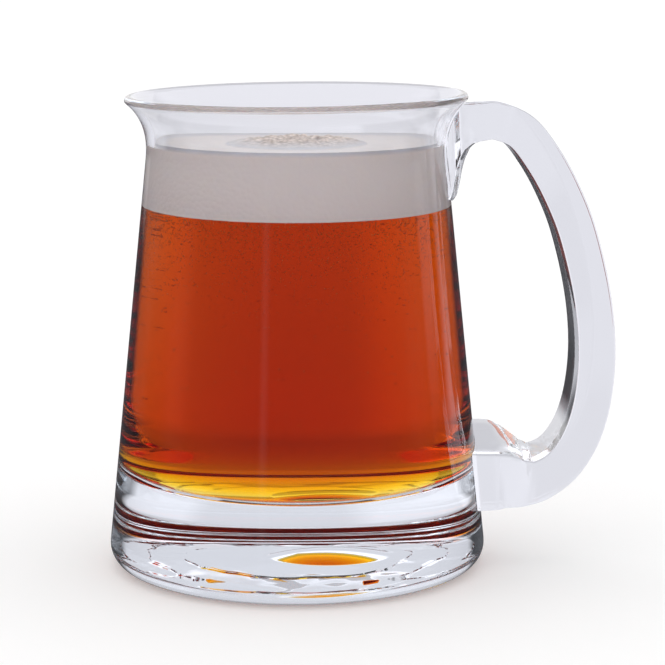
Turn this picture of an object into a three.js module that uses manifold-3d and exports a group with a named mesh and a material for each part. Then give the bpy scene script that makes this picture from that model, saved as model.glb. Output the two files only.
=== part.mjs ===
// A one-pint glass tankard: a blown bowl on a heavy base, a strap handle put on hot, and the ale and foam
// in it. Millimetres, +Z up. The foot stands on z = 0 and the handle points along +X.
import * as THREE from "three";
import { mergeVertices } from "three/addons/utils/BufferGeometryUtils.js";
import Module from "manifold-3d";

const wasm = await Module();
wasm.setup();

// Bowl, outside
const BOWL_HEIGHT = 130; // table to the top of the lip
const FOOT_RADIUS = 52.4; // where the straight wall would meet the table
const FOOT_ROUNDING = 6.2; // radius between the wall and the underside
const NECK_RADIUS = 40.8; // narrowest place, where the mouth starts to flare
const NECK_HEIGHT = 112;
const FLARE_RISE = 10.6; // how far the wall's line runs on into the flare's curve
const LIP_RADIUS = 46.8; // outside of the lip
const LIP_THICKNESS = 2.3; // diameter of the lip's round edge

// Bowl, inside and underneath
const WALL_THICKNESS = 2.2;
const BASE_THICKNESS = 25; // table to the glass floor
const FLOOR_ROUNDING = 9; // radius between the floor and the wall
const PUNT_RADIUS = 32.5; // hollow under the base
const PUNT_DEPTH = 3.5;

// Drink
const FOAM_DROP = 13.5; // lip down to the top of the foam at its edge
const FOAM_THICKNESS = 17.1; // ale to the top of the foam at its edge
const MOUND_RADIUS = 19; // the low heap of bubbles on the foam
const MOUND_HEIGHT = 4;
const MOUND_FORWARD = 4; // how far the heap lies to the front of the bowl's axis

// Handle
const HANDLE_REACH = 86.3; // bowl axis to the outside of the grip
const GRIP_THICKNESS = 10.8; // in the handle's plane
const GRIP_DEPTH = 20; // across the handle's plane
const PAD_HEIGHT = 25.3; // table to the middle of the lower join
const PAD_THICKNESS = 21.5; // strap where it meets the wall, low down
const PAD_DEPTH = 38;
const CROWN_DROP = 7.6; // lip down to the middle of the strap at its highest place
const JOIN_THICKNESS = 14; // strap where it meets the neck, high up
const JOIN_DEPTH = 27;
const TAIL_LENGTH = 11.5; // pressed tail, from the upper join's middle down to its tip
const TAIL_THICKNESS = 5; // how far the tail stands out from the neck
const TAIL_DEPTH = 15;
const TAIL_DROP = 10.4; // from the strap's middle at its highest place down to the tail's widest place
const SECTION_SQUARENESS = 3.2; // 2 is an ellipse, and more is a squarer strap

// Fit and facets
const CLEARANCE = 0.3; // between pieces that touch
const TURN_SEGMENTS = 64;
const ARC_SEGMENTS = 5;
const BALL_SEGMENTS = 24; // round the heap of foam and the handle's tail
const STRAP_RINGS = 52;
const STRAP_SIDES = 20;
const ROUGH_CUT = 2; // how far a cutting shape runs past what it cuts
const SAME_POINT = 1e-4; // corners closer than this are one corner

// The wall leans inwards by this angle as it rises.
const lean = Math.atan2(FOOT_RADIUS - NECK_RADIUS, NECK_HEIGHT);

// Heights of the drink above the table.
const foamLevel = BOWL_HEIGHT - FOAM_DROP;
const aleLevel = foamLevel - FOAM_THICKNESS;

/** Radius of the straight wall's outer face at a height. */
function wallRadius(z) {
  return FOOT_RADIUS - Math.tan(lean) * z;
}

/** Points of an arc in the profile plane, from one angle to another. */
function arc(centre, radius, from, to, segments) {
  const curve = new THREE.ArcCurve(centre.x, centre.y, radius, from, to, to < from);
  return curve.getPoints(segments);
}

/** The bowl's lip: the middle of its round edge and the direction across the wall there. */
function lip() {
  const bead = LIP_THICKNESS / 2;
  const centre = new THREE.Vector2(LIP_RADIUS - bead, BOWL_HEIGHT - bead);
  const bend = new THREE.Vector2(wallRadius(NECK_HEIGHT + FLARE_RISE), NECK_HEIGHT + FLARE_RISE);
  const along = centre.clone().sub(bend).normalize();
  return { bead, centre, bend, outwards: new THREE.Vector2(along.y, -along.x) };
}

/** Outer half of the profile, from the edge of the punt up to the lip. */
function outerProfile() {
  const foot = new THREE.Vector2(
    wallRadius(FOOT_ROUNDING) - FOOT_ROUNDING / Math.cos(lean),
    FOOT_ROUNDING,
  );
  const { bead, centre, bend, outwards } = lip();
  const neck = new THREE.Vector2(NECK_RADIUS, NECK_HEIGHT);
  const flareEnd = centre.clone().addScaledVector(outwards, bead);
  const flare = new THREE.QuadraticBezierCurve(neck, bend, flareEnd);
  return [
    new THREE.Vector2(PUNT_RADIUS, 0),
    ...arc(foot, FOOT_ROUNDING, -Math.PI / 2, lean, ARC_SEGMENTS),
    ...flare.getPoints(2 * ARC_SEGMENTS),
  ];
}

/** Inner half of the profile, from the lip down to the middle of the floor. */
function innerProfile() {
  const { bead, centre, bend, outwards } = lip();
  const across = WALL_THICKNESS / Math.cos(lean);
  const floorCentreHeight = BASE_THICKNESS + FLOOR_ROUNDING;
  const floorCorner = new THREE.Vector2(
    wallRadius(floorCentreHeight) - across - FLOOR_ROUNDING / Math.cos(lean),
    floorCentreHeight,
  );
  const flareEnd = centre.clone().addScaledVector(outwards, -bead);
  const innerBend = new THREE.Vector2(bend.x - across, bend.y);
  const innerNeck = new THREE.Vector2(NECK_RADIUS - across, NECK_HEIGHT);
  const flare = new THREE.QuadraticBezierCurve(flareEnd, innerBend, innerNeck);
  return [
    ...flare.getPoints(2 * ARC_SEGMENTS),
    ...arc(floorCorner, FLOOR_ROUNDING, lean, -Math.PI / 2, ARC_SEGMENTS),
    new THREE.Vector2(0, BASE_THICKNESS),
  ];
}

/** The same profile moved sideways, away from the glass of the wall. */
function offsetProfile(points, distance) {
  return points.map((point, i) => {
    const before = points[Math.max(i - 1, 0)];
    const after = points[Math.min(i + 1, points.length - 1)];
    const along = after.clone().sub(before).normalize();
    const moved = point.clone().add(new THREE.Vector2(along.y, -along.x).multiplyScalar(distance));
    moved.x = Math.max(moved.x, 0);
    return moved;
  });
}

/** The part of a falling profile between two heights. */
function profileBetween(points, top, bottom) {
  const cut = (a, b, z) => a.clone().lerp(b, (a.y - z) / (a.y - b.y));
  const kept = [];
  for (let i = 0; i < points.length - 1; i += 1) {
    const [a, b] = [points[i], points[i + 1]];
    if (a.y > top && b.y < top) kept.push(cut(a, b, top));
    if (a.y <= top && a.y >= bottom) kept.push(a);
    if (a.y > bottom && b.y < bottom) kept.push(cut(a, b, bottom));
  }
  return kept;
}

/** A body of revolution about the bowl's axis from a profile that starts and ends on it. */
function turned(profile) {
  const geometry = new THREE.LatheGeometry(profile, TURN_SEGMENTS);
  return geometry.rotateX(Math.PI / 2);
}

/** A ball stretched to three half-widths, with its poles up and down. */
function ball(x, y, z) {
  const geometry = new THREE.SphereGeometry(1, BALL_SEGMENTS, BALL_SEGMENTS / 2);
  return geometry.rotateX(Math.PI / 2).scale(x, y, z);
}

/** A closed mesh as a solid that can be joined and cut. */
function solid(geometry) {
  const bare = geometry.clone();
  bare.deleteAttribute("normal");
  bare.deleteAttribute("uv");
  const merged = mergeVertices(bare, SAME_POINT);
  const corners = merged.index.array;
  const kept = [];
  for (let i = 0; i < corners.length; i += 3) {
    const [a, b, c] = corners.subarray(i, i + 3);
    if (a !== b && b !== c && c !== a) kept.push(a, b, c);
  }
  return new wasm.Manifold(
    new wasm.Mesh({
      numProp: 3,
      vertProperties: new Float32Array(merged.attributes.position.array),
      triVerts: new Uint32Array(kept),
    }),
  );
}

/** A solid as geometry again. */
function geometryOf(body) {
  const { vertProperties, triVerts } = body.getMesh();
  const geometry = new THREE.BufferGeometry();
  geometry.setAttribute("position", new THREE.BufferAttribute(new Float32Array(vertProperties), 3));
  geometry.setIndex(new THREE.BufferAttribute(new Uint32Array(triVerts), 1));
  geometry.computeVertexNormals();
  return geometry;
}

/** The bowl's outside as a solid without its hollow, larger all round by the clearance. */
function bowlEnvelope() {
  const side = offsetProfile(outerProfile().slice(1), CLEARANCE);
  const lipTop = BOWL_HEIGHT + ROUGH_CUT;
  const profile = [
    new THREE.Vector2(0, side[0].y),
    ...side,
    new THREE.Vector2(LIP_RADIUS + CLEARANCE, lip().centre.y),
    new THREE.Vector2(LIP_RADIUS + CLEARANCE, lipTop),
    new THREE.Vector2(0, lipTop),
  ];
  return solid(turned(profile));
}

/** The blown bowl: hollow underside, foot, wall, neck, flare, lip, inside and floor. */
function glassBody() {
  const { bead, centre, outwards } = lip();
  const puntSphere = (PUNT_RADIUS ** 2 + PUNT_DEPTH ** 2) / (2 * PUNT_DEPTH);
  const puntHalfAngle = Math.asin(PUNT_RADIUS / puntSphere);
  const puntCentre = new THREE.Vector2(0, PUNT_DEPTH - puntSphere);
  const lipStart = outwards.angle() - 2 * Math.PI;
  const punt = arc(puntCentre, puntSphere, Math.PI / 2, Math.PI / 2 - puntHalfAngle, ARC_SEGMENTS);
  punt[0].x = 0;
  return turned([
    ...punt.slice(0, -1),
    ...outerProfile(),
    ...arc(centre, bead, lipStart, lipStart + Math.PI, ARC_SEGMENTS + 1).slice(1, -1),
    ...innerProfile(),
  ]);
}

/** The drink's side from one height down to another, just clear of the glass. */
function drinkSide(top, bottom) {
  return profileBetween(offsetProfile(innerProfile(), CLEARANCE), top, bottom);
}

/** The ale, from the glass floor up to its level. */
function ale() {
  const side = drinkSide(aleLevel, BASE_THICKNESS).reverse();
  const middle = new THREE.Vector2(0, BASE_THICKNESS + CLEARANCE);
  return turned([middle, ...side, new THREE.Vector2(0, aleLevel)]);
}

/** The foam: a layer on the ale, with a low heap of bubbles towards the front. */
function foamHead() {
  const bottom = aleLevel + CLEARANCE;
  const side = drinkSide(foamLevel, bottom).reverse();
  const layer = turned([new THREE.Vector2(0, bottom), ...side, new THREE.Vector2(0, foamLevel)]);
  const heap = ball(MOUND_RADIUS, MOUND_RADIUS, MOUND_HEIGHT);
  heap.translate(0, -MOUND_FORWARD, foamLevel);
  return geometryOf(solid(layer).add(solid(heap)));
}

// The strap's middle line. rise is a share of the height from the lower join to the crown, and out is a
// share of the grip's distance from the wall. swell is 0 on the plain grip and 1 where the strap spreads
// onto the bowl.
const STRAP_LINE = [
  { rise: 0, out: -0.11, swell: 1 },
  { rise: 0, out: 0.05, swell: 0.94 },
  { rise: 0, out: 0.2, swell: 0.68 },
  { rise: -0.008, out: 0.34, swell: 0.38 },
  { rise: 0, out: 0.49, swell: 0.2 },
  { rise: 0.043, out: 0.67, swell: 0.1 },
  { rise: 0.125, out: 0.83, swell: 0.06 },
  { rise: 0.235, out: 0.94, swell: 0.03 },
  { rise: 0.37, out: 1, swell: 0 },
  { rise: 0.522, out: 0.998, swell: 0 },
  { rise: 0.69, out: 0.932, swell: 0 },
  { rise: 0.808, out: 0.833, swell: 0 },
  { rise: 0.902, out: 0.711, swell: 0 },
  { rise: 0.971, out: 0.574, swell: 0 },
  { rise: 1, out: 0.4, swell: 0.25 },
  { rise: 0.995, out: 0.22, swell: 0.65 },
  { rise: 0.985, out: 0.03, swell: 1 },
];

/** The strap's middle line as a curve, with its thickness and depth along it. */
function strapCurves() {
  const crownHeight = BOWL_HEIGHT - CROWN_DROP;
  const gripStation = STRAP_LINE.find((station) => station.out === 1);
  const height = (rise) => PAD_HEIGHT + rise * (crownHeight - PAD_HEIGHT);
  const standOff = HANDLE_REACH - GRIP_THICKNESS / 2 - wallRadius(height(gripStation.rise));
  const middle = STRAP_LINE.map(({ rise, out }) => {
    const z = height(rise);
    return new THREE.Vector3(wallRadius(z) + out * standOff, 0, z);
  });
  const sizes = STRAP_LINE.map(({ rise, swell }) => {
    const lower = rise < gripStation.rise;
    const thickness = lower ? PAD_THICKNESS : JOIN_THICKNESS;
    const depth = lower ? PAD_DEPTH : JOIN_DEPTH;
    return new THREE.Vector2(
      GRIP_THICKNESS + swell * (thickness - GRIP_THICKNESS),
      GRIP_DEPTH + swell * (depth - GRIP_DEPTH),
    );
  });
  return {
    middle: new THREE.CatmullRomCurve3(middle, false, "centripetal"),
    sizes: new THREE.SplineCurve(sizes),
  };
}

/** The strap as rings of points along its middle line, closed by a flat face at each end. */
function strap() {
  const { middle, sizes } = strapCurves();
  const positions = [];
  const across = new THREE.Vector3(0, 1, 0);
  const squared = (value) => Math.sign(value) * Math.abs(value) ** (2 / SECTION_SQUARENESS);
  for (let ring = 0; ring <= STRAP_RINGS; ring += 1) {
    const t = ring / STRAP_RINGS;
    const centre = middle.getPoint(t);
    const outwards = middle.getTangent(t).cross(across).normalize();
    const size = sizes.getPoint(t);
    for (let side = 0; side < STRAP_SIDES; side += 1) {
      const angle = (2 * Math.PI * side) / STRAP_SIDES;
      const point = centre.clone();
      point.addScaledVector(outwards, (size.x / 2) * squared(Math.cos(angle)));
      point.addScaledVector(across, (size.y / 2) * squared(Math.sin(angle)));
      positions.push(...point.toArray());
    }
  }
  const ends = [middle.getPoint(0), middle.getPoint(1)];
  ends.forEach((point) => positions.push(...point.toArray()));
  return loftGeometry(positions);
}

/** Triangles between the strap's rings, and fans from the two end points to the first and last ring. */
function loftGeometry(positions) {
  const index = [];
  const lastRing = STRAP_RINGS * STRAP_SIDES;
  const firstEnd = lastRing + STRAP_SIDES;
  for (let side = 0; side < STRAP_SIDES; side += 1) {
    const next = (side + 1) % STRAP_SIDES;
    for (let ring = 0; ring < STRAP_RINGS; ring += 1) {
      const here = ring * STRAP_SIDES;
      const there = here + STRAP_SIDES;
      index.push(here + side, there + next, here + next, here + side, there + side, there + next);
    }
    index.push(firstEnd, side, next, firstEnd + 1, lastRing + next, lastRing + side);
  }
  const geometry = new THREE.BufferGeometry();
  geometry.setAttribute("position", new THREE.Float32BufferAttribute(positions, 3));
  geometry.setIndex(index);
  return geometry;
}

/** The handle: strap and pressed tail in one, cut to the bowl's outside. */
function handle() {
  const tailHeight = BOWL_HEIGHT - CROWN_DROP - TAIL_DROP;
  const tail = ball(TAIL_THICKNESS, TAIL_DEPTH / 2, TAIL_LENGTH);
  tail.translate(wallRadius(tailHeight), 0, tailHeight);
  return geometryOf(solid(strap()).add(solid(tail)).subtract(bowlEnvelope()));
}

const clearGlass = new THREE.MeshStandardMaterial({
  color: "#e6e9f2", roughness: 0.03, metalness: 0, transparent: true, opacity: 0.35,
});
const amberAle = new THREE.MeshStandardMaterial({
  color: "#b4481c", roughness: 0.05, metalness: 0, transparent: true, opacity: 0.8,
});
const creamFoam = new THREE.MeshStandardMaterial({ color: "#e6dcd6", roughness: 0.85, metalness: 0 });

/** One named piece of the tankard. */
function piece(name, geometry, material) {
  const mesh = new THREE.Mesh(geometry, material);
  mesh.name = name;
  return mesh;
}

const tankard = new THREE.Group();
tankard.name = "tankard";
tankard.add(
  piece("glass_body", glassBody(), clearGlass),
  piece("handle", handle(), clearGlass),
  piece("ale", ale(), amberAle),
  piece("foam_head", foamHead(), creamFoam),
);

// The origin is under the middle of the whole object, so the bowl's axis lies to one side of it.
const bowlReach = Math.max(...outerProfile().map((point) => point.x));
tankard.position.x = (bowlReach - HANDLE_REACH) / 2;

export default tankard;
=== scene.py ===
import math
import random

import bmesh
import bpy
from bpy.props import FloatProperty, FloatVectorProperty, IntProperty, PointerProperty
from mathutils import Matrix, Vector, kdtree


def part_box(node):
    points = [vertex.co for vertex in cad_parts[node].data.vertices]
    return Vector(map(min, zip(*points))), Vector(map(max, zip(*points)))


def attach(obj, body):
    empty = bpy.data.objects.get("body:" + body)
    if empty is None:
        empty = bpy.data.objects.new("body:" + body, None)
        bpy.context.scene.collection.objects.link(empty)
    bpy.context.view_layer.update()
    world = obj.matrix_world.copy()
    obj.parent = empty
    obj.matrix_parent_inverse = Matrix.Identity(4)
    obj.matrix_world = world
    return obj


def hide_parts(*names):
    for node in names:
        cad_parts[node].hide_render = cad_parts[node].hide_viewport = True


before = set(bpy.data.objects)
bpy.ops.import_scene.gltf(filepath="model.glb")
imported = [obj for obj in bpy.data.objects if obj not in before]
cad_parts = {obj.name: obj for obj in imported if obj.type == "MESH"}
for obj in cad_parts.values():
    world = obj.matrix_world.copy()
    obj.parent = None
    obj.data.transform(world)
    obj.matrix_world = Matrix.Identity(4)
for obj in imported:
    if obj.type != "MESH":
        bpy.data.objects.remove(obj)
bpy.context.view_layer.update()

bl_info = {
    "name": "Glass Tankard of Ale",
    "version": (1, 0, 0),
    "blender": (4, 5, 0),
    "location": "View3D > Sidebar > Tankard",
    "description": "Models a hand-worked glass tankard, its drink and its studio around the packed solids",
    "category": "Add Mesh",
}

MM = 0.001

# The frame: where the bowl, the strap and the drink lie
BOWL_LOW, BOWL_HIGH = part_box("glass_body")
STRAP_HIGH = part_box("handle")[1]
ALE_LOW, ALE_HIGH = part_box("ale")
FOAM_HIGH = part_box("foam_head")[1]
AXIS = Vector(((BOWL_LOW.x + BOWL_HIGH.x) / 2, 0, 0))

# The level of the foam leaves room above it for its mound
MOUND_ROOM = 4 * MM
FOAM_LEVEL = FOAM_HIGH.z - MOUND_ROOM

GLASS_IOR = 1.5
ALE_IOR = 1.345
FOAM_IOR = 1.33
# Faces of the bowl that the drink touches carry this attribute
WETTED = "wetted"
# How far the ale goes into the bowl's inner face, how far the foam stays off that face,
# and how far the handle stays off the bowl's outside
WETTING = 0.08 * MM
FOAM_GAP = 0.12 * MM
JOIN_GAP = 0.15 * MM

# Room that is left when points and faces are sorted by their place
MARGIN = 1 * MM
# Shorter steps aren't drawn in a profile, and points that are closer than this become one
SHORTEST_STEP = 0.001 * MM
WELD_DISTANCE = 0.005 * MM
# Steps around what is turned, and the angle up to which edges look smooth on what is turned or drawn out
PLAIN_TURN = 192
FINE_TURN = 256
TURNED_SMOOTH = math.radians(60)
DRAWN_SMOOTH = math.radians(40)

# The camera of the photograph
CAMERA_DISTANCE = 676.6 * MM
CAMERA_HEIGHT = 180.57 * MM
CAMERA_PITCH = 0.1706
CAMERA_YAW = 0.01443
SENSOR_WIDTH = 36
NEAREST_SEEN = 10 * MM
FARTHEST_SEEN = 50

# Light is followed through this many faces, because thick glass passes it to and fro inside itself
LIGHT_BOUNCES = 32


def limited(share):
    """A share kept between 0 and 1."""
    return min(max(share, 0), 1)


def from_hex(text):
    """Turns an sRGB hex colour into a linear colour with full alpha."""
    parts = [int(text[i:i + 2], 16) / 255 for i in (1, 3, 5)]
    linear = [c / 12.92 if c <= 0.04045 else ((c + 0.055) / 1.055) ** 2.4 for c in parts]
    return (*linear, 1.0)


WHITE = from_hex("#ffffff")


def length_property(name, description, millimetres):
    """A length that a user can change."""
    return FloatProperty(
        name=name, description=description, default=millimetres * MM, unit="LENGTH", precision=5)


def number_property(name, description, number):
    """A ratio or another plain number that a user can change."""
    return FloatProperty(name=name, description=description, default=number)


def colour_property(name, description, text):
    """A colour that a user can change."""
    return FloatVectorProperty(
        name=name, description=description, default=from_hex(text), size=4, subtype="COLOR", min=0, max=1)


class TankardGlassSettings(bpy.types.PropertyGroup):
    """Sizes of the bowl and the colour of the glass"""
    foot_radius: length_property("Foot radius", "Radius that the wall would have at the table", 52.4)
    foot_rounding: length_property("Foot rounding", "Radius of the round edge of the foot", 6.2)
    neck_radius: length_property("Neck radius", "Radius where the wall ends and the flare begins", 40.8)
    neck_height: length_property("Neck height", "Height where the wall ends and the flare begins", 112)
    flare_rise: length_property("Flare rise", "Height above the neck where the flare bends most", 10.6)
    lip_radius: length_property("Lip radius", "Radius of the outside of the fire-polished lip", 46.4)
    lip_dip: length_property("Lip dip", "How much lower the hand-finished lip is away from the handle", 0.9)
    lip_thickness: length_property("Lip thickness", "Thickness of the fire-polished lip", 2.3)
    wall_thickness: length_property("Wall thickness", "Thickness of the bowl's wall", 2.2)
    base_thickness: length_property("Base thickness", "Thickness of the solid base", 25)
    floor_rounding: length_property("Floor rounding", "Radius between the bowl's floor and its wall", 9)
    punt_radius: length_property("Punt radius", "Radius of the hollow under the base", 32.5)
    punt_depth: length_property("Punt depth", "Depth of the hollow under the base, beside its dome", 3.15)
    pontil_ripple: length_property("Pontil ripple", "How far the edges of the scar in the hollow wander", 7)
    dome_radius: length_property("Dome radius", "Radius of the smooth dome at the top of the hollow", 11.3)
    dome_rise: length_property("Dome rise", "Height of the smooth dome at the top of the hollow", 2.1)
    dome_offset: length_property("Dome offset", "How far the dome lies towards the handle", 5.8)
    dome_shift: length_property("Dome shift", "How far the dome lies behind the middle", 3)
    tint: colour_property("Glass tint", "Colour that thick glass lets through best", "#e9f0f4")
    tint_strength: number_property("Tint strength", "How fast the glass swallows light, per metre", 6)


class TankardStrapSettings(bpy.types.PropertyGroup):
    """Sizes of the handle"""
    thickness: length_property("Grip thickness", "Thickness of the strap at the grip", 10.8)
    depth: length_property("Grip depth", "Depth of the strap, front to back, at the grip", 20)
    edge_radius: length_property("Edge radius", "Rounding of the inner edge at the front, at the pad", 0.9)
    outer_radius: length_property("Outer radius", "Rounding of the outer edge at the front, at the pad", 0.7)
    back_radius: length_property("Back radius", "Rounding of the two edges at the back, at the pad", 0.25)
    inner_taper: length_property("Inner taper", "How far the inner edge at the front is drawn in", 1.4)
    back_draw: length_property("Back draw", "How far the outer edge at the back is drawn forward", 2.8)
    tail_length: length_property("Tail length", "How far the upper join runs down the wall", 15.6)
    tail_narrowing: length_property("Tail narrowing", "How far the tail's tip is drawn in at the back", 5.5)
    tail_lean: length_property("Tail lean", "How much closer to the wall the tail's front edge lies", 2.2)
    pad_height: length_property("Pad height", "Height of the middle of the lower pad", 25.3)
    pad_swell: number_property("Pad swell", "How much thicker the pad is than the grip", 1.6)
    pad_spread: number_property("Pad spread", "How much deeper the pad is than the grip", 1.3)
    join_swell: number_property("Join swell", "How much thicker the upper join is than the grip", 1.32)
    join_spread: number_property("Join spread", "How much deeper the upper join is than the grip", 1.05)
    hump_height: length_property("Hump height", "Rise of the pad's back edge where it meets the wall", 3.2)
    hump_reach: length_property("Hump reach", "How far the hump runs out from the wall", 13)
    crown_drop: length_property("Crown drop", "How far the strap's crown lies below the lip", 7.6)


class TankardDrinkSettings(bpy.types.PropertyGroup):
    """Colours and sizes of the ale, the foam and the bubbles"""
    ale_colour: colour_property("Ale colour", "Colour that the ale lets through", "#fbeb00")
    ale_strength: number_property("Ale strength", "How fast the ale swallows light, per metre", 250)
    foam_colour: colour_property("Foam colour", "Colour of the smooth foam on top", "#d9d8df")
    foam_side: colour_property("Foam side", "Colour of the dense foam against the glass", "#fdf0ea")
    # Foam shade is the colour between the mound's bubbles: partly the ale in the films, partly painted shade
    # in the hollows there
    foam_shade: colour_property("Foam shade", "Colour of the mound, between its bubbles", "#a39590")
    mound_radius: length_property("Mound radius", "Radius of the mound on the foam", 19)
    mound_height: length_property("Mound height", "Height of the mound on the foam", 3.4)
    foam_climb: length_property("Foam climb", "How far the foam climbs at the glass", 0.8)
    haze_bubbles: IntProperty(name="Haze bubbles", description="Fine bubbles under the foam", default=7000)
    bead_bubbles: IntProperty(name="Bead bubbles", description="Loose bubbles in the ale", default=130)


class TankardStageSettings(bpy.types.PropertyGroup):
    """The studio and its camera"""
    room_colour: colour_property("Room colour", "Colour of the studio as the glass shows it", "#e7e7ef")
    floor_colour: colour_property("Floor colour", "Colour of the floor under the tankard", "#e7e7e7")
    floor_glow: number_property("Floor glow", "Strength of the floor's own light", 0.25)
    lens: FloatProperty(
        name="Lens", description="Focal length of the camera", default=135.5, subtype="DISTANCE_CAMERA")


def deselect_all():
    """Leaves edit mode and selects nothing."""
    if bpy.context.mode != "OBJECT":
        bpy.ops.object.mode_set(mode="OBJECT")
    bpy.ops.object.select_all(action="DESELECT")


def select_only(piece):
    """Selects the piece and nothing else, and makes it the active one."""
    deselect_all()
    piece.select_set(True)
    bpy.context.view_layer.objects.active = piece


def finish_piece(piece, node, material, smooth_up_to):
    """Shades the piece, gives it its material and hands it to the frame."""
    select_only(piece)
    bpy.ops.object.transform_apply(location=True, rotation=True, scale=True)
    bpy.ops.object.shade_smooth_by_angle(angle=smooth_up_to)
    piece.data.materials.clear()
    piece.data.materials.append(material)
    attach(piece, "root")
    if node:
        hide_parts(node)


def apply_modifier(piece, kind, **settings):
    """Adds one modifier to the piece, sets it and applies it."""
    select_only(piece)
    modifier = piece.modifiers.new(kind.title(), kind)
    for setting, value in settings.items():
        setattr(modifier, setting, value)
    bpy.ops.object.modifier_apply(modifier=modifier.name)


def weight_group(piece, name, weight_of):
    """Weights the piece's points by a rule on their place."""
    group = piece.vertex_groups.new(name=name)
    for vertex in piece.data.vertices:
        weight = weight_of(vertex.co)
        if weight > 0:
            group.add([vertex.index], weight, "REPLACE")


def displace(piece, group, distance, direction="Z", texture=None, still=0.0):
    """Moves points along an axis by their weight, times how far the texture's value is from still."""
    apply_modifier(piece, "DISPLACE", vertex_group=group, strength=distance, direction=direction,
                   texture=texture, texture_coords="LOCAL", mid_level=still)


def arc(centre, radius, start, end, steps):
    """Points on a circle in the profile's plane, from one angle to the other."""
    turns = [start + (end - start) * i / steps for i in range(steps + 1)]
    return [Vector((centre.x + radius * math.cos(t), centre.y + radius * math.sin(t))) for t in turns]


def bend(start, knee, end, steps):
    """Points on the curve that leaves start towards knee and arrives at end from it."""
    shares = [i / steps for i in range(steps + 1)]
    return [start * (1 - s) ** 2 + knee * (2 * s * (1 - s)) + end * s ** 2 for s in shares]


def line(start, end, steps):
    """Points on a straight line."""
    return [start.lerp(end, i / steps) for i in range(steps + 1)]


def turn(name, profile, steps=PLAIN_TURN):
    """Draws a profile of radii and heights point by point, and spins it about the bowl's axis."""
    deselect_all()
    first = AXIS + Vector((profile[0].x, 0, profile[0].y))
    bpy.ops.mesh.primitive_plane_add(size=MM, location=first)
    piece = bpy.context.object
    piece.name = name
    bpy.ops.object.mode_set(mode="EDIT")
    bpy.ops.mesh.select_all(action="SELECT")
    bpy.ops.mesh.merge(type="CENTER")
    for before, after in zip(profile, profile[1:]):
        if (after - before).length > SHORTEST_STEP:
            step = (after.x - before.x, 0, after.y - before.y)
            bpy.ops.mesh.extrude_vertices_move(TRANSFORM_OT_translate={"value": step})
    bpy.ops.mesh.select_all(action="SELECT")
    bpy.ops.mesh.spin(steps=steps, angle=math.tau, center=AXIS, axis=(0, 0, 1))
    bpy.ops.mesh.select_all(action="SELECT")
    bpy.ops.mesh.remove_doubles(threshold=WELD_DISTANCE)
    bpy.ops.mesh.normals_make_consistent(inside=False)
    bpy.ops.object.mode_set(mode="OBJECT")
    bpy.ops.object.transform_apply(location=True, rotation=True, scale=True)
    return piece


def add_node(tree, kind, inputs=None, **settings):
    """Adds a node with its settings; an input takes a value or the socket that it is linked to."""
    node = tree.nodes.new(kind)
    for setting, value in settings.items():
        setattr(node, setting, value)
    for name, value in (inputs or {}).items():
        if isinstance(value, bpy.types.NodeSocket):
            tree.links.new(value, node.inputs[name])
        else:
            node.inputs[name].default_value = value
    return node


def new_material(name):
    """An empty material and its node tree."""
    material = bpy.data.materials.new(name)
    material.use_nodes = True
    material.node_tree.nodes.clear()
    return material, material.node_tree


# Soda-lime glass, hand-gathered and fire-polished: clear, smooth and faintly cool where it is thick.
# Where the drink touches its inner face there is no air between them, so that face bends no light there,
# and the ale's own boundary does
def clear_glass(glass):
    material, tree = new_material("fire_polished_soda_glass")
    wetted = add_node(tree, "ShaderNodeAttribute", attribute_name=WETTED).outputs["Fac"]
    bending = add_node(
        tree, "ShaderNodeMath", {0: wetted, 1: 1 - GLASS_IOR, 2: GLASS_IOR}, operation="MULTIPLY_ADD")
    shader = add_node(tree, "ShaderNodeBsdfPrincipled", {
        "Base Color": WHITE, "Roughness": 0.0, "IOR": bending.outputs[0], "Transmission Weight": 1.0})
    absorb = add_node(tree, "ShaderNodeVolumeAbsorption", {
        "Color": glass.tint, "Density": glass.tint_strength})
    add_node(tree, "ShaderNodeOutputMaterial", {"Surface": shader.outputs[0], "Volume": absorb.outputs[0]})
    return material


# Filtered amber ale: thin it is gold, and a tankard's width of it is a deep red.
# It meets glass and foam but no air, so its boundary bends light by the ratio of ale to glass
def amber_ale(drink):
    material, tree = new_material("filtered_amber_ale")
    shader = add_node(tree, "ShaderNodeBsdfPrincipled", {
        "Base Color": WHITE, "Roughness": 0.0, "IOR": ALE_IOR / GLASS_IOR, "Transmission Weight": 1.0})
    absorb = add_node(tree, "ShaderNodeVolumeAbsorption", {
        "Color": drink.ale_colour, "Density": drink.ale_strength})
    add_node(tree, "ShaderNodeOutputMaterial", {"Surface": shader.outputs[0], "Volume": absorb.outputs[0]})
    return material


# Ale foam: dense fine bubbles that scatter light, warm against the glass. On the mound it is darker between
# the
# bubbles, where the bump sinks: partly the ale in the films there, partly painted shade in those hollows. The
# bubbles are drawn coarser than real ones so that they show
FOAM_BUBBLE = 1.3 * MM
FILM_DEPTH = 0.3 * MM
SCATTER_REACH = 2 * MM
# Heights above the foam's level between which the side turns into the top, and the top into the mound
TOP_BLEND = (-0.6 * MM, 0.4 * MM)
MOUND_BLEND = (0.4 * MM, 2 * MM)


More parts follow.
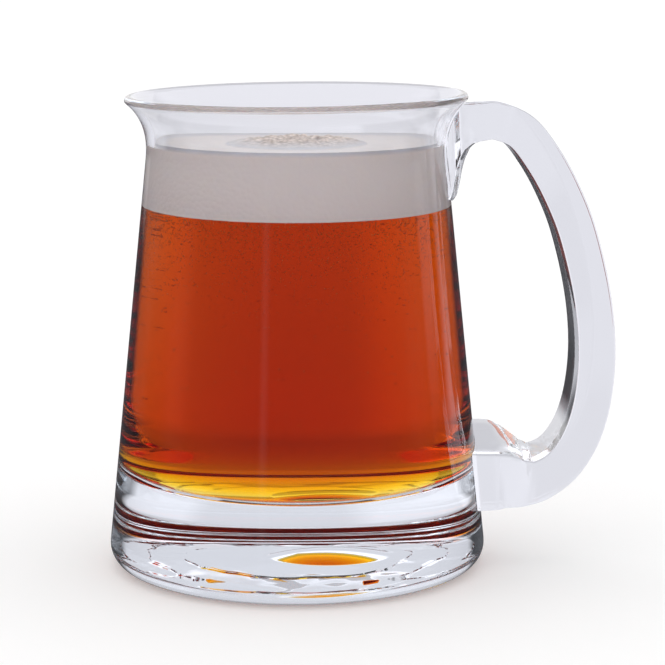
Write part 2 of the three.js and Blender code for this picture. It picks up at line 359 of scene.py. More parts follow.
def ale_foam(drink):
    material, tree = new_material("dense_ale_foam")
    place = add_node(tree, "ShaderNodeTexCoord").outputs["Object"]
    bubbles = add_node(
        tree, "ShaderNodeTexVoronoi", {"Vector": place, "Scale": 1 / FOAM_BUBBLE}, feature="F1")
    film = bubbles.outputs["Distance"]
    height = add_node(tree, "ShaderNodeSeparateXYZ", {0: place}).outputs[2]
    on_top = between(tree, height, *(FOAM_LEVEL + above for above in TOP_BLEND))
    on_mound = between(tree, height, *(FOAM_LEVEL + above for above in MOUND_BLEND))
    # Darker towards the edges of each bubble on the mound: partly the ale in the films, partly painted shade
    # in the hollows between the bubbles
    curds = mixed(tree, film, drink.foam_side, drink.foam_shade)
    shade = mixed(tree, on_top, drink.foam_side, drink.foam_colour)
    shade = mixed(tree, on_mound, shade, curds)
    bump = add_node(
        tree, "ShaderNodeBump", {"Height": film, "Strength": 0.3, "Distance": FILM_DEPTH}, invert=True)
    shader = add_node(tree, "ShaderNodeBsdfPrincipled", {
        "Base Color": shade, "Roughness": 0.55, "IOR": FOAM_IOR, "Normal": bump.outputs[0],
        "Subsurface Weight": 0.25, "Subsurface Radius": (1.0, 0.8, 0.6), "Subsurface Scale": SCATTER_REACH})
    add_node(tree, "ShaderNodeOutputMaterial", {"Surface": shader.outputs[0]})
    return material


# Gas in ale: the light bends out of each bubble, so it has a dark rim
def gas_bubble():
    material, tree = new_material("gas_in_ale")
    shader = add_node(tree, "ShaderNodeBsdfPrincipled", {
        "Base Color": WHITE, "Roughness": 0.0, "IOR": 1 / ALE_IOR, "Transmission Weight": 1.0})
    add_node(tree, "ShaderNodeOutputMaterial", {"Surface": shader.outputs[0]})
    return material


def wall_slope(glass):
    """How fast the wall narrows upwards."""
    return (glass.foot_radius - glass.neck_radius) / glass.neck_height


def wall_radius(glass, height):
    """The radius of the wall's outside at a height."""
    return glass.foot_radius - wall_slope(glass) * height


def lip_centre(glass):
    """The middle of the round lip in the profile."""
    bead = glass.lip_thickness / 2
    return Vector((glass.lip_radius - bead, BOWL_HIGH.z - bead))


def flare_knee(glass):
    """Where the wall's line would have to bend to reach the lip."""
    height = glass.neck_height + glass.flare_rise
    return Vector((wall_radius(glass, height), height))


def across_lip(glass):
    """The direction out of the flare, square to it at the lip."""
    along = (lip_centre(glass) - flare_knee(glass)).normalized()
    return Vector((along.y, -along.x))


def outer_profile(glass, outset=0.0):
    """The bowl's outside from the foot to the lip, pushed out by outset."""
    lean = math.atan(wall_slope(glass))
    rounding = glass.foot_rounding
    centre = Vector((wall_radius(glass, rounding) - rounding / math.cos(lean), rounding))
    foot = arc(centre, rounding + outset, -math.pi / 2, lean, steps=14)
    away = Vector((math.cos(lean), math.sin(lean))) * outset
    neck = Vector((glass.neck_radius, glass.neck_height)) + away
    knee = flare_knee(glass) + away
    lip = lip_centre(glass) + across_lip(glass) * (glass.lip_thickness / 2 + outset)
    return foot + line(foot[-1], neck, steps=24)[1:] + bend(neck, knee, lip, steps=14)[1:]


def inner_profile(glass, inset=0.0, lift=0.0):
    """The bowl's inside from the lip to the middle of the floor, its wall drawn in and its floor lifted."""
    lean = math.atan(wall_slope(glass))
    thick = (glass.wall_thickness + inset) / math.cos(lean)
    lip = lip_centre(glass) - across_lip(glass) * (glass.lip_thickness / 2 + inset)
    knee = flare_knee(glass) - Vector((thick, 0))
    neck = Vector((glass.neck_radius - thick, glass.neck_height))
    rounding = glass.floor_rounding
    floor = glass.base_thickness + lift
    centre_height = floor + rounding
    centre = Vector((wall_radius(glass, centre_height) - thick - rounding / math.cos(lean), centre_height))
    corner = arc(centre, rounding, lean, -math.pi / 2, steps=12)
    brim = Vector((wall_radius(glass, ALE_HIGH.z) - thick, ALE_HIGH.z))
    wall = line(neck, brim, steps=8)[1:] + line(brim, corner[0], steps=16)[1:]
    bottom = line(corner[-1], Vector((0, floor)), steps=10)
    return bend(lip, knee, neck, steps=14) + wall + corner[1:] + bottom[1:]


def camera_object(stage):
    """The camera of the photograph: a long lens a little above the tankard, tipped down."""
    data = bpy.data.cameras.new("camera")
    data.lens = stage.lens
    data.sensor_width = SENSOR_WIDTH
    data.clip_start = NEAREST_SEEN
    data.clip_end = FARTHEST_SEEN
    camera = bpy.data.objects.new("camera", data)
    camera.location = (AXIS.x, -CAMERA_DISTANCE, CAMERA_HEIGHT)
    camera.rotation_euler = (math.pi / 2 - CAMERA_PITCH, 0, -CAMERA_YAW)
    bpy.context.scene.collection.objects.link(camera)
    bpy.context.scene.camera = camera


def mixed(tree, factor, first, second):
    """A colour between two colours."""
    node = add_node(tree, "ShaderNodeMix", {0: factor, 6: first, 7: second}, data_type="RGBA")
    return node.outputs[2]


def dimmed(tint, level):
    """A colour at a level of its brightness."""
    return [part * level for part in tint[:3]] + [1]


def sides_ramp(tree, around, tint, levels):
    """Levels of a tint at angles from straight behind the tankard, in degrees to the right."""
    ramp = add_node(tree, "ShaderNodeValToRGB", {0: around})
    stops = ramp.color_ramp.elements
    while len(stops) < len(levels):
        stops.new(1.0)
    for stop, (degrees, level) in zip(stops, levels):
        stop.position = 0.5 + degrees / 360
        stop.color = dimmed(tint, level)
    return ramp.outputs[0]


# The level of the room at each angle from straight behind the tankard, as the glass shows it:
# through itself when it looks level, down and up, and in its polish
SEEN_LEVEL = (
    (-180, 0.15), (-128, 0.15), (-121, 0.05), (-103, 0.05), (-95, 1), (-85, 1), (-77, 0.05), (-60, 0.05),
    (-53, 1.2), (-16, 1.2), (-9, 1), (19, 1), (25, 1.2), (53, 1.2), (60, 0.05), (77, 0.05), (85, 1), (95, 1),
    (103, 0.05), (121, 0.05), (128, 0.15), (180, 0.15))
SEEN_BELOW = (
    (-180, 1), (-130, 1), (-120, 0.05), (-104, 0.05), (-96, 1), (-86, 1), (-77, 0.05), (-60, 0.05),
    (-52, 1.2), (-16, 1.2), (-9, 1), (19, 1), (25, 1.2), (52, 1.2), (60, 0.05), (77, 0.05), (86, 1), (96, 1),
    (104, 0.05), (120, 0.05), (130, 1), (180, 1))
SEEN_ABOVE = (
    (-180, 2.2), (-128, 3.6), (-121, 0.05), (-60, 0.05), (-53, 1), (53, 1), (60, 0.05), (121, 0.05),
    (128, 1.3), (180, 2.2))
SEEN_IN_POLISH = (
    (-180, 0.18), (-162, 0.18), (-158, 0.5), (-155, 0.18), (-34, 0.18), (-31, 1), (31, 1), (34, 0.18),
    (70, 0.18), (73, 0.6), (80, 0.6), (83, 0.18), (180, 0.18))
# Between which upward parts of a direction the room changes, and its levels high up, overhead and far down
BELOW = (-0.1, -0.16)
ABOVE = (0.1, 0.16)
HIGH = (0.42, 0.55)
OVERHEAD = (0.6, 0.7)
FAR_DOWN = (-0.36, -0.46)
BELOW_IN_POLISH = (-0.03, -0.09)
HIGH_LEVEL = 1.8
OVERHEAD_LEVEL = 1.5
# Far down the room is dimmer: painted shade in place of the floor in the tankard's own shadow, which the
# glass doesn't see
FAR_DOWN_LEVEL = 0.75
POLISH_HIGH = from_hex("#dadadd")
POLISH_LOW = from_hex("#505055")


def between(tree, value, start, end):
    """How far a value has come from start to end, from 0 to 1."""
    return add_node(tree, "ShaderNodeMapRange", {0: value, 1: start, 2: end, 3: 0.0, 4: 1.0}).outputs[0]


def room_colour(tree, stage, direction):
    """The studio in a direction: white to the camera and as light, pale through glass, dark in its polish."""
    rays = add_node(tree, "ShaderNodeLightPath").outputs
    parts = add_node(tree, "ShaderNodeSeparateXYZ", {0: direction}).outputs
    angle = add_node(tree, "ShaderNodeMath", {0: parts[0], 1: parts[1]}, operation="ARCTAN2").outputs[0]
    turned = add_node(tree, "ShaderNodeMath", {0: angle, 1: 1 / math.tau, 2: 0.5}, operation="MULTIPLY_ADD")
    around = turned.outputs[0]
    up = parts[2]
    high = between(tree, up, *HIGH)
    tint = stage.room_colour
    through = sides_ramp(tree, around, tint, SEEN_LEVEL)
    through = mixed(tree, between(tree, up, *BELOW), through, sides_ramp(tree, around, tint, SEEN_BELOW))
    through = mixed(tree, between(tree, up, *ABOVE), through, sides_ramp(tree, around, tint, SEEN_ABOVE))
    through = mixed(tree, high, through, dimmed(tint, HIGH_LEVEL))
    through = mixed(tree, between(tree, up, *OVERHEAD), through, dimmed(tint, OVERHEAD_LEVEL))
    # Far down the room is dimmer: painted shade in place of the floor in the tankard's own shadow
    through = mixed(tree, between(tree, up, *FAR_DOWN), through, dimmed(tint, FAR_DOWN_LEVEL))
    polish = sides_ramp(tree, around, WHITE, SEEN_IN_POLISH)
    polish = mixed(tree, high, polish, POLISH_HIGH)
    polish = mixed(tree, between(tree, up, *BELOW_IN_POLISH), polish, POLISH_LOW)
    passed = rays["Is Transmission Ray"]
    unpassed = add_node(tree, "ShaderNodeMath", {0: 1.0, 1: passed}, operation="SUBTRACT").outputs[0]
    mirrored = add_node(tree, "ShaderNodeMath", {0: unpassed, 1: rays["Is Glossy Ray"]}, operation="MULTIPLY")
    seen = mixed(tree, mirrored.outputs[0], mixed(tree, passed, WHITE, through), polish)
    return mixed(tree, rays["Is Camera Ray"], seen, WHITE)


def studio_world(stage):
    """Puts the studio's room around the tankard, as its main light."""
    world = bpy.data.worlds.new("studio")
    world.use_nodes = True
    bpy.context.scene.world = world
    tree = world.node_tree
    tree.nodes.clear()
    direction = add_node(tree, "ShaderNodeTexCoord").outputs["Generated"]
    colour = room_colour(tree, stage, direction)
    sky = add_node(tree, "ShaderNodeBackground", {"Color": colour, "Strength": 1.0})
    add_node(tree, "ShaderNodeOutputWorld", {"Surface": sky.outputs[0]})


# A matt painted studio floor that glows a little: it shows the tankard's shadow and stays white around it
def pale_floor(stage):
    material, tree = new_material("pale_studio_floor")
    matt = add_node(tree, "ShaderNodeBsdfDiffuse", {"Color": stage.floor_colour})
    glow = add_node(tree, "ShaderNodeEmission", {"Color": WHITE, "Strength": stage.floor_glow})
    seen = add_node(tree, "ShaderNodeAddShader", {0: matt.outputs[0], 1: glow.outputs[0]})
    add_node(tree, "ShaderNodeOutputMaterial", {"Surface": seen.outputs[0]})
    return material


FLOOR_SIZE = 16
# The sheet of painted shade that lies under the hollow of the base, in place of the floor's shade there, and
# how far under the floor's top it is
SHADE_SHEET_SIZE = 42 * MM
SHADE_SHEET_DROP = 0.1 * MM
PAINTED_SHADE_COLOUR = from_hex("#595959")


def painted_hollow_shade():
    """Painted shade under the hollow of the base: a sheet that glows an even grey and shows only through the
    glass.
    """
    deselect_all()
    bpy.ops.mesh.primitive_plane_add(size=SHADE_SHEET_SIZE, location=AXIS - Vector((0, 0, SHADE_SHEET_DROP)))
    shade_sheet = bpy.context.object
    shade_sheet.name = "painted_shade_under_hollow"
    bpy.ops.object.transform_apply(location=True, rotation=True, scale=True)
    material, tree = new_material("painted_shade_under_base")
    # It glows an even grey: painted shade in place of the floor's shade under the hollow
    dark = add_node(tree, "ShaderNodeEmission", {"Color": PAINTED_SHADE_COLOUR, "Strength": 1.0})
    add_node(tree, "ShaderNodeOutputMaterial", {"Surface": dark.outputs[0]})
    shade_sheet.data.materials.append(material)
    shade_sheet.visible_camera = False
    shade_sheet.visible_diffuse = False
    shade_sheet.visible_shadow = False
    shade_sheet.visible_glossy = False


class TANKARD_OT_stage(bpy.types.Operator):
    """Sets up the camera, the soft studio light, the pale floor and the sheet of painted shade under the base
    """
    bl_idname = "tankard.stage"
    bl_label = "Stage"

    def execute(self, context):
        stage = context.scene.tankard_stage
        context.scene.view_settings.view_transform = "Standard"
        paths = context.scene.cycles
        paths.max_bounces = LIGHT_BOUNCES
        paths.glossy_bounces = LIGHT_BOUNCES
        paths.transmission_bounces = LIGHT_BOUNCES
        camera_object(stage)
        studio_world(stage)
        deselect_all()
        bpy.ops.mesh.primitive_plane_add(size=FLOOR_SIZE, location=(0, 0, 0))
        floor = context.object
        floor.name = "floor"
        floor.data.materials.append(pale_floor(stage))
        floor.visible_glossy = False
        floor.visible_transmission = False
        painted_hollow_shade()
        return {"FINISHED"}


def rough_texture(name, kind, size):
    """A texture whose pattern has a size."""
    texture = bpy.data.textures.new(name, kind)
    texture.noise_scale = size
    return texture


# The hollow lies below this height. Its scar runs between two radii and fades in and out there,
# and its edges wander on patterns of these sizes
HOLLOW_TOP = 4 * MM
SCAR_INNER = 17 * MM
SCAR_OUTER = 32 * MM
SCAR_FADE_IN = 2.5 * MM
SCAR_FADE_OUT = 3 * MM
SCAR_WANDER = {"X": 17 * MM, "Y": 13 * MM}
# The hollow's steps from its top down: radius and height of each edge, in millimetres
PUNT_STEPS = ((20.5, 2.27), (20.6, 1.93), (27.4, 1.28), (27.5, 0.93), (32.3, 0.45))


def punt_profile(glass):
    """The hollow under the base from its middle outwards: a nearly level top and broken steps."""
    top = Vector((0, glass.punt_depth))
    edges = [Vector(edge) * MM for edge in PUNT_STEPS]
    points = line(top, edges[0], steps=50)
    # About one step to a millimetre
    for before, after in zip(edges, edges[1:]):
        points += line(before, after, max(2, round((after - before).length / MM)))[1:]
    return points + line(edges[-1], Vector((glass.punt_radius, 0)), steps=5)[1:]


class TANKARD_OT_glass_body(bpy.types.Operator):
    """Turns the bowl with its thick base, flared mouth and uneven pontil hollow"""
    bl_idname = "tankard.glass_body"
    bl_label = "Glass body"

    def execute(self, context):
        glass = context.scene.tankard_glass
        outside = outer_profile(glass)
        inside = inner_profile(glass)
        out = across_lip(glass)
        turned_out = math.atan2(out.y, out.x)
        lip = arc(lip_centre(glass), glass.lip_thickness / 2, turned_out, turned_out + math.pi, steps=12)
        rest = line(Vector((glass.punt_radius, 0)), outside[0], steps=4)
        punt = punt_profile(glass)
        piece = turn("blown_bowl", punt + rest[1:] + outside[1:] + lip[1:] + inside[1:], FINE_TURN)
        dome = AXIS + Vector((glass.dome_offset, glass.dome_shift, 0))

        def on_scar(place):
            reach = (place - AXIS).xy.length
            if place.z > HOLLOW_TOP or not SCAR_INNER < reach < SCAR_OUTER:
                return 0.0
            return min((reach - SCAR_INNER) / SCAR_FADE_IN, (SCAR_OUTER - reach) / SCAR_FADE_OUT, 1.0)

        def on_dome(place):
            reach = (place - dome).xy.length / glass.dome_radius
            return max(1 - reach ** 2, 0) if place.z < HOLLOW_TOP else 0.0

        def on_dip(place):
            rise = (place.z - glass.neck_height) / (BOWL_HIGH.z - glass.neck_height)
            share = 0.5 - (place.x - AXIS.x) / (2 * glass.lip_radius)
            return limited(rise) * limited(share)

        weight_group(piece, "dip", on_dip)
        weight_group(piece, "dome", on_dome)
        weight_group(piece, "scar", on_scar)
        displace(piece, "dip", -glass.lip_dip)
        displace(piece, "dome", glass.dome_rise)
        for direction, size in SCAR_WANDER.items():
            wander = rough_texture(f"pontil_scar_{direction}", "CLOUDS", size)
            displace(piece, "scar", glass.pontil_ripple, direction, wander, still=0.5)
        piece.vertex_groups.clear()
        wetted = piece.data.attributes.new(WETTED, "FLOAT", "FACE")
        for face in piece.data.polygons:
            middle = face.center
            within = (middle - AXIS).xy.length < wall_radius(glass, middle.z) - glass.wall_thickness / 2
            in_drink = glass.base_thickness - MARGIN < middle.z < FOAM_LEVEL
            wetted.data[face.index].value = float(within and in_drink)
        finish_piece(piece, "glass_body", clear_glass(glass), TURNED_SMOOTH)
        return {"FINISHED"}


# The strap's line: its height between pad and crown, its distance from the wall, and its swelling, as shares
STRAP_LINE = (
    (0, -0.11, 1), (0, 0.05, 0.98), (0, 0.2, 0.88), (-0.008, 0.34, 0.52), (0, 0.49, 0.19),
    (0.043, 0.67, 0.03), (0.125, 0.83, 0), (0.235, 0.94, 0), (0.37, 1, 0), (0.522, 0.998, 0),
    (0.69, 0.932, 0), (0.808, 0.833, 0), (0.902, 0.711, 0), (0.971, 0.574, 0), (1, 0.4, 0.1),
    (1, 0.29, 0.2), (0.997, 0.2, 0.3), (0.994, 0.12, 0.35), (0.992, 0.05, 0.4), (0.99, -0.1, 0.4),
)
STEPS_ON_LINE = 10
# Stations from this share of the height upwards belong to the upper join
JOIN_FROM = 0.5
# The strap's outer side slopes along the lines on which the camera looks at it, so that its back edge doesn't
# show through the front. This is its slope to the right, and the most that any of it is pushed out
OUTER_SIDEWAYS = 0.065
OUTER_MOST = 8 * MM
# Strips in each half of the strap's depth
STRIPS_IN_HALF = 8
# The hump of the pad: how steeply it rises towards the wall, and where from front to back it starts
# and how far it then takes to its top, as shares of half the pad's depth
HUMP_STEEPNESS = 1.37
HUMP_START = -0.75
HUMP_RUN = 1.4
# How far the body that is cut out of the handle goes past the bowl
CORE_OVERRUN = 20 * MM
# The tail's inner side: how far it runs down at each distance from the wall, in millimetres
TAIL_LINE = ((12.5, 0), (9, 0.3), (6.8, 1.8), (5.4, 4.6), (4.6, 7.4), (4, 11), (3.2, 14.3), (2.2, 15.6))


def strap_stations(glass, strap):
    """Places along the strap as x, z, thickness and depth, on a smooth curve through its line."""
    crown = BOWL_HIGH.z - strap.crown_drop
    rise_to = crown - strap.pad_height
    widest = max(STRAP_LINE, key=lambda station: station[1])
    widest_height = strap.pad_height + widest[0] * rise_to
    stand_off = STRAP_HIGH.x - strap.thickness / 2 - AXIS.x - wall_radius(glass, widest_height)
    knots = []
    for rise, out, swell in STRAP_LINE:
        height = strap.pad_height + rise * rise_to
        swelling = strap.pad_swell if rise < JOIN_FROM else strap.join_swell
        spread = strap.pad_spread if rise < JOIN_FROM else strap.join_spread
        thickness = strap.thickness * (1 + (swelling - 1) * swell)
        depth = strap.depth * (1 + (spread - 1) * swell)
        reach = AXIS.x + wall_radius(glass, height) + out * stand_off
        knots.append(Vector((reach, height, thickness, depth)))
    return smooth_line(knots, STEPS_ON_LINE)


def tail_drop(distance):
    """How far the tail's inner side has run down at a distance from the wall, as a share of its length."""
    steps = [(far * MM, drop / TAIL_LINE[-1][1]) for far, drop in TAIL_LINE]
    if distance >= steps[0][0]:
        return 0.0
    for (far, above), (near, below) in zip(steps, steps[1:]):
        if distance >= near:
            return above + (below - above) * (far - distance) / (far - near)
    return 1.0


def smooth_line(knots, steps):
    """A smooth curve through knots of four values, with some steps between one knot and the next.

    At each knot it runs in the direction from the knot before to the knot after, as a cubic with handles of a
    sixth of that way.
    """
    stations = []
    for i in range(len(knots) - 1):
        before = knots[max(i - 1, 0)]
        after = knots[min(i + 2, len(knots) - 1)]
        lead = knots[i] + (knots[i + 1] - before) / 6
        trail = knots[i + 1] - (after - knots[i]) / 6
        for step in range(steps):
            s = step / steps
            near = knots[i] * (1 - s) ** 3 + lead * (3 * s * (1 - s) ** 2)
            stations.append(near + trail * (3 * s ** 2 * (1 - s)) + knots[i + 1] * s ** 3)
    return stations + [knots[-1]]


def select_corners(piece, chosen):
    """Selects the points of the piece in edit mode that a rule on their place chooses."""
    bpy.ops.mesh.select_all(action="DESELECT")
    shape = bmesh.from_edit_mesh(piece.data)
    for vertex in shape.verts:
        vertex.select_set(chosen(vertex.co))
    shape.select_flush_mode()
    bmesh.update_edit_mesh(piece.data)


def headings_of(stations):
    """The direction of the strap at each of its stations."""
    headings = []
    for i in range(len(stations)):
        step = stations[min(i + 1, len(stations) - 1)] - stations[max(i - 1, 0)]
        headings.append(math.atan2(step.y, step.x))
    return headings


def loft(name, stations, strap):
    """Extrudes a section along stations of x, z, thickness and depth, turning it as they turn.

    The section is a rectangle with round edges, drawn in at its inner front and forward at its outer back.
    """
    headings = headings_of(stations)
    deselect_all()
    start = stations[0]
    centre = (start.x, 0, start.y)
    bpy.ops.mesh.primitive_plane_add(size=1, location=centre, rotation=(0, math.pi / 2, 0))
    piece = bpy.context.object
    piece.name = name
    piece.scale = (start.z, start.w, 1)
    bpy.ops.object.transform_apply(location=True, rotation=True, scale=True)
    bpy.ops.object.mode_set(mode="EDIT")
    select_corners(piece, lambda place: place.z > start.y and place.y < 0)
    bpy.ops.transform.translate(value=(0, 0, -strap.inner_taper))
    select_corners(piece, lambda place: place.z < start.y and place.y > 0)
    bpy.ops.transform.translate(value=(0, -strap.back_draw, 0))
    select_corners(piece, lambda place: place.y > 0)
    bpy.ops.mesh.bevel(offset=strap.back_radius, segments=4, affect="VERTICES")
    select_corners(piece, lambda place: place.z < start.y and place.y < 0)
    bpy.ops.mesh.bevel(offset=strap.outer_radius, segments=5, affect="VERTICES")
    select_corners(piece, lambda place: place.z > start.y and place.y < 0)
    bpy.ops.mesh.bevel(offset=strap.edge_radius, segments=6, affect="VERTICES")
    bpy.ops.mesh.select_all(action="SELECT")
    bpy.ops.transform.rotate(value=headings[0], orient_axis="Y", center_override=centre)
    for i in range(1, len(stations)):
        before, after = stations[i - 1], stations[i]
        centre = (after.x, 0, after.y)
        step = (after.x - before.x, 0, after.y - before.y)
        thicker = after.z / before.z
        deeper = after.w / before.w
        bpy.ops.mesh.extrude_region_move(TRANSFORM_OT_translate={"value": step})
        bpy.ops.transform.resize(value=(thicker, deeper, thicker), center_override=centre)
        bpy.ops.transform.rotate(value=headings[i] - headings[i - 1], orient_axis="Y", center_override=centre)
    bpy.ops.mesh.select_all(action="SELECT")
    bpy.ops.mesh.normals_make_consistent(inside=False)
    bpy.ops.object.mode_set(mode="OBJECT")
    return piece


def slope_outer_side(piece, stations):
    """Slopes the strap's outer side, outwards to the back at the pad and the grip and down at the crown."""
    headings = headings_of(stations)
    nearest = kdtree.KDTree(len(stations))
    for i, station in enumerate(stations):
        nearest.insert((station.x, 0, station.y), i)
    nearest.balance()

    def push(place):
        i = nearest.find((place.x, 0, place.z))[1]
        station, heading = stations[i], headings[i]
        outward = Vector((math.sin(heading), -math.cos(heading)))
        offset = Vector((place.x - station.x, place.z - station.y)).dot(outward)
        share = limited(2 * offset / station.z)
        back = limited(place.y / station.w + 0.5)
        fall = (CAMERA_HEIGHT - station.y) / CAMERA_DISTANCE
        # A side that faces down is seen through the glass, which bends the line of sight
        bending = 1 if outward.y > 0 else 1 / GLASS_IOR
        slope = OUTER_SIDEWAYS * outward.x - fall * outward.y * bending
        return outward * (station.w * slope * share * back)

    weight_group(piece, "out", lambda place: limited(push(place).x / OUTER_MOST))
    weight_group(piece, "down", lambda place: limited(-push(place).y / OUTER_MOST))
    displace(piece, "out", OUTER_MOST, "X")
    displace(piece, "down", -OUTER_MOST)
    piece.vertex_groups.clear()


def cut_across(piece, half):
    """Cuts the strap into strips from front to back, so that its sides can bend."""
    select_only(piece)
    bpy.ops.object.mode_set(mode="EDIT")
    for step in range(1 - STRIPS_IN_HALF, STRIPS_IN_HALF):
        bpy.ops.mesh.select_all(action="SELECT")
        bpy.ops.mesh.bisect(plane_co=(0, step / STRIPS_IN_HALF * half, 0), plane_no=(0, 1, 0))
    bpy.ops.object.mode_set(mode="OBJECT")


def pad_end(strap):
    """The height up to which the strap counts as its pad."""
    return 2 * strap.pad_height


def raise_hump(piece, glass, strap):
    """Lifts the back of the pad's top towards the wall."""
    half = strap.depth * strap.pad_spread / 2

    def on_hump(place):
        reach = (place.x - AXIS.x - wall_radius(glass, place.z)) / strap.hump_reach
        if place.z < strap.pad_height or place.z > pad_end(strap) or reach > 1:
            return 0.0
        fall = min((1 - reach) * HUMP_STEEPNESS, 1)
        back = limited((place.y / half - HUMP_START) / HUMP_RUN)
        # It leaves the strap and reaches its top without an edge
        return back * fall * fall * (3 - 2 * fall)

    weight_group(piece, "hump", on_hump)
    displace(piece, "hump", strap.hump_height)
    piece.vertex_groups.clear()


def press_tail(piece, glass, strap):
    """Draws the inner side of the upper join down the wall, into a tail that narrows to its tip."""
    crown = BOWL_HIGH.z - strap.crown_drop
    half = strap.depth / 2

    def on_tail(place):
        if place.z < pad_end(strap) or place.z > crown:
            return 0.0
        lean = strap.tail_lean * max(-place.y / half, 0)
        return tail_drop(place.x - AXIS.x - wall_radius(glass, place.z) + lean)

    def on_back(place):
        share = (crown - strap.thickness / 2 - place.z) / strap.tail_length
        near = place.x - AXIS.x - wall_radius(glass, place.z) < TAIL_LINE[0][0] * MM
        if place.z < pad_end(strap) or share < 0 or not near:
            return 0.0
        return min(share, 1) ** 2 * limited(place.y / half)

    weight_group(piece, "tail", on_tail)
    displace(piece, "tail", -strap.tail_length)
    weight_group(piece, "back", on_back)
    displace(piece, "back", -strap.tail_narrowing, "Y")
    piece.vertex_groups.clear()


class TANKARD_OT_handle(bpy.types.Operator):
    """Draws out the strap handle with its pad, its upper join and the pressed tail"""
    bl_idname = "tankard.handle"
    bl_label = "Handle"

    def execute(self, context):
        glass = context.scene.tankard_glass
        strap = context.scene.tankard_strap
        stations = strap_stations(glass, strap)
        piece = loft("strap_handle", stations, strap)
        cut_across(piece, strap.depth * strap.pad_spread / 2)
        slope_outer_side(piece, stations)
        raise_hump(piece, glass, strap)
        press_tail(piece, glass, strap)
        outside = outer_profile(glass, JOIN_GAP)
        top = BOWL_HIGH.z + CORE_OVERRUN
        core = [Vector((0, -CORE_OVERRUN)), Vector((outside[0].x, -CORE_OVERRUN)), *outside]
        core += [Vector((outside[-1].x, top)), Vector((0, top))]
        bowl = turn("bowl_core", core)
        apply_modifier(piece, "BOOLEAN", operation="DIFFERENCE", object=bowl, solver="EXACT")
        bpy.data.objects.remove(bowl)
        finish_piece(
            piece, "handle", bpy.data.materials["fire_polished_soda_glass"], DRAWN_SMOOTH)
        apply_modifier(piece, "WEIGHTED_NORMAL", mode="FACE_AREA", weight=50, keep_sharp=True)
        return {"FINISHED"}


# Heights within this of each other count as the same
LEVEL_TOLERANCE = 0.01 * MM


def ale_side(glass):
    """The ale's side from its brim down, a hair outside the bowl's inner face so that it wets the glass."""
    brim = ALE_HIGH.z + LEVEL_TOLERANCE
    return [point for point in inner_profile(glass, -WETTING, -WETTING) if point.y < brim]


class TANKARD_OT_ale(bpy.types.Operator):
    """Fills the bowl with ale up to the foam"""
    bl_idname = "tankard.ale"
    bl_label = "Ale"

    def execute(self, context):
        glass = context.scene.tankard_glass
        drink = context.scene.tankard_drink
        side = ale_side(glass)
        surface = line(Vector((0, ALE_HIGH.z)), side[0], steps=8)
        piece = turn("ale_fill", surface + side[1:])
        finish_piece(piece, "ale", amber_ale(drink), TURNED_SMOOTH)
        return {"FINISHED"}


# The foam's top lies this close to its level, its mound stands this far forward of the middle, with shoulders
# that are rounder the smaller their power is, and the foam climbs the glass over this width
TOP_TOLERANCE = 0.1 * MM
MOUND_FORWARD = 4 * MM
MOUND_SHOULDER = 0.6
CLIMB_WIDTH = 5 * MM
# The foam's roughness: the part that has it, the kind and size of its pattern, its height,
# and the pattern's value that leaves a point where it is
FOAM_ROUGHNESS = {
    "curds": ("mound", "CLOUDS", 5 * MM, 3.4 * MM, 0.6),
    "froth": ("mound", "VORONOI", 2.2 * MM, -1.3 * MM, 0.0),
    "skin": ("top", "CLOUDS", 3 * MM, 0.3 * MM, 0.5),
}


class TANKARD_OT_foam_head(bpy.types.Operator):
    """Lays the foam on the ale, with its mound of larger bubbles"""
    bl_idname = "tankard.foam_head"
    bl_label = "Foam head"

    def execute(self, context):
        glass = context.scene.tankard_glass
        drink = context.scene.tankard_drink
        bottom = ALE_HIGH.z - WETTING
        lowest, highest = bottom + MARGIN, FOAM_LEVEL - MARGIN
        side = [point for point in inner_profile(glass, FOAM_GAP) if lowest < point.y < highest]
        low = Vector((side[-1].x + wall_slope(glass) * (side[-1].y - bottom), bottom))
        high = Vector((side[0].x - wall_slope(glass) * (FOAM_LEVEL - side[0].y), FOAM_LEVEL))
        top = line(high, Vector((0, FOAM_LEVEL)), steps=90)
        under = line(Vector((0, bottom)), low, steps=6)
        piece = turn("foam_cap", under + list(reversed(side)) + top, FINE_TURN)
        mound = AXIS - Vector((0, MOUND_FORWARD, 0))

        def is_high(place):
            return place.z > FOAM_LEVEL - TOP_TOLERANCE

        def on_top(place):
            return 1.0 if is_high(place) and (place - AXIS).xy.length < high.x - MARGIN else 0.0

        def on_mound(place):
            reach = (place - mound).xy.length / drink.mound_radius
            return max(0.0, 1 - reach ** 2) ** MOUND_SHOULDER * on_top(place)

        def on_rim(place):
            climb = 1 - (high.x - (place - AXIS).xy.length) / CLIMB_WIDTH
            return max(climb, 0) ** 2 if is_high(place) else 0.0

        weight_group(piece, "rim", on_rim)
        weight_group(piece, "top", on_top)
        weight_group(piece, "mound", on_mound)
        for part, rise in (("rim", drink.foam_climb), ("mound", drink.mound_height)):
            displace(piece, part, rise)
        for name, (part, kind, size, height, still) in FOAM_ROUGHNESS.items():
            displace(piece, part, height, texture=rough_texture(name, kind, size), still=still)
        piece.vertex_groups.clear()
        finish_piece(piece, "foam_head", ale_foam(drink), TURNED_SMOOTH)
        return {"FINISHED"}


BUBBLE_SEED = 7
# A bubble's height as a share of its width
BUBBLE_FLATNESS = 0.94
# The haze under the foam: least and greatest radius in millimetres, how far under the ale's top it begins,
# how far it goes down from there on average and at most, and how far from the glass it begins
# and goes inwards from there on average
HAZE_SIZES = (0.09, 0.2)
HAZE_TOP = 0.5 * MM
HAZE_SPAN = 9 * MM
HAZE_DEEPEST = 40 * MM
HAZE_NEAREST = 0.7 * MM
HAZE_INWARD = 2 * MM
# The loose beads: least and greatest radius in millimetres, how far over the ale's floor and under its top
# they stay, how far from the glass they begin, and how many millimetres they go inwards from there at most
BEAD_SIZES = (0.12, 0.32)
BEAD_LOWEST = 14 * MM
BEAD_HIGHEST = 2 * MM
BEAD_NEAREST = 0.8 * MM
BEAD_INWARD = 20


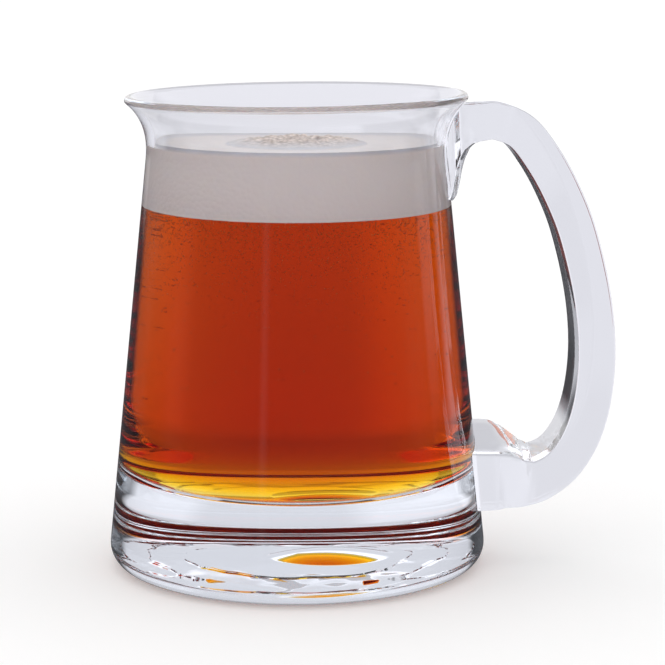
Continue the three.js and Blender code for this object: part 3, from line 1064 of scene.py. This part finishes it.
class TANKARD_OT_bubbles(bpy.types.Operator):
    """Scatters fine bubbles under the foam and loose ones through the ale"""
    bl_idname = "tankard.bubbles"
    bl_label = "Bubbles"

    def execute(self, context):
        glass = context.scene.tankard_glass
        drink = context.scene.tankard_drink
        draw = random.Random(BUBBLE_SEED)
        deselect_all()
        bpy.ops.mesh.primitive_ico_sphere_add(subdivisions=1, radius=1)
        pattern = context.object
        bpy.ops.transform.resize(value=(1, 1, BUBBLE_FLATNESS))
        bpy.ops.object.transform_apply(location=True, rotation=True, scale=True)
        shell = [vertex.co.copy() for vertex in pattern.data.vertices]
        sides = [tuple(face.vertices) for face in pattern.data.polygons]
        bpy.data.objects.remove(pattern)
        # Thousands of copies go into one mesh at once, because an operator for each would take minutes
        points, faces = [], []
        for i in range(drink.haze_bubbles + drink.bead_bubbles):
            turned = draw.uniform(0, math.tau)
            if i < drink.haze_bubbles:
                height = ALE_HIGH.z - HAZE_TOP - min(draw.expovariate(1 / HAZE_SPAN), HAZE_DEEPEST)
                size = draw.uniform(*HAZE_SIZES) * MM
                depth = HAZE_NEAREST + draw.expovariate(1 / HAZE_INWARD)
            else:
                height = draw.uniform(ALE_LOW.z + BEAD_LOWEST, ALE_HIGH.z - BEAD_HIGHEST)
                size = draw.uniform(*BEAD_SIZES) * MM
                depth = BEAD_NEAREST + draw.uniform(0, BEAD_INWARD) * MM
            radius = max(wall_radius(glass, height) - glass.wall_thickness - depth - size, 0)
            place = AXIS + Vector((radius * math.cos(turned), radius * math.sin(turned), height))
            faces += [tuple(corner + len(points) for corner in side) for side in sides]
            points += [place + point * size for point in shell]
        data = bpy.data.meshes.new("ale_bubbles")
        data.from_pydata(points, [], faces)
        piece = bpy.data.objects.new("ale_bubbles", data)
        context.scene.collection.objects.link(piece)
        finish_piece(piece, None, gas_bubble(), math.pi)
        return {"FINISHED"}


class TANKARD_PT_panel(bpy.types.Panel):
    """Lists the tankard's settings and the steps that build it"""
    bl_idname = "TANKARD_PT_panel"
    bl_label = "Glass tankard"
    bl_space_type = "VIEW_3D"
    bl_region_type = "UI"
    bl_category = "Tankard"

    def draw(self, context):
        for group, kind in SETTINGS.items():
            box = self.layout.box()
            for name in kind.__annotations__:
                box.prop(getattr(context.scene, group), name)
        for step in STEPS:
            self.layout.operator(step.bl_idname)


STEPS = (TANKARD_OT_stage, TANKARD_OT_glass_body, TANKARD_OT_handle, TANKARD_OT_ale, TANKARD_OT_foam_head,
         TANKARD_OT_bubbles)
SETTINGS = {
    "tankard_glass": TankardGlassSettings,
    "tankard_strap": TankardStrapSettings,
    "tankard_drink": TankardDrinkSettings,
    "tankard_stage": TankardStageSettings,
}


def register():
    """Registers the classes and gives every scene the tankard's settings."""
    for kind in (*SETTINGS.values(), *STEPS, TANKARD_PT_panel):
        bpy.utils.register_class(kind)
    for name, kind in SETTINGS.items():
        setattr(bpy.types.Scene, name, PointerProperty(type=kind))


def unregister():
    """Takes back what register did."""
    for name in SETTINGS:
        delattr(bpy.types.Scene, name)
    for kind in reversed((*SETTINGS.values(), *STEPS, TANKARD_PT_panel)):
        bpy.utils.unregister_class(kind)


def main():
    """Builds the stage and the pieces in order."""
    register()
    bpy.ops.tankard.stage()
    bpy.ops.tankard.glass_body()
    bpy.ops.tankard.handle()
    bpy.ops.tankard.ale()
    bpy.ops.tankard.foam_head()
    bpy.ops.tankard.bubbles()


if __name__ == "__main__":
    main()
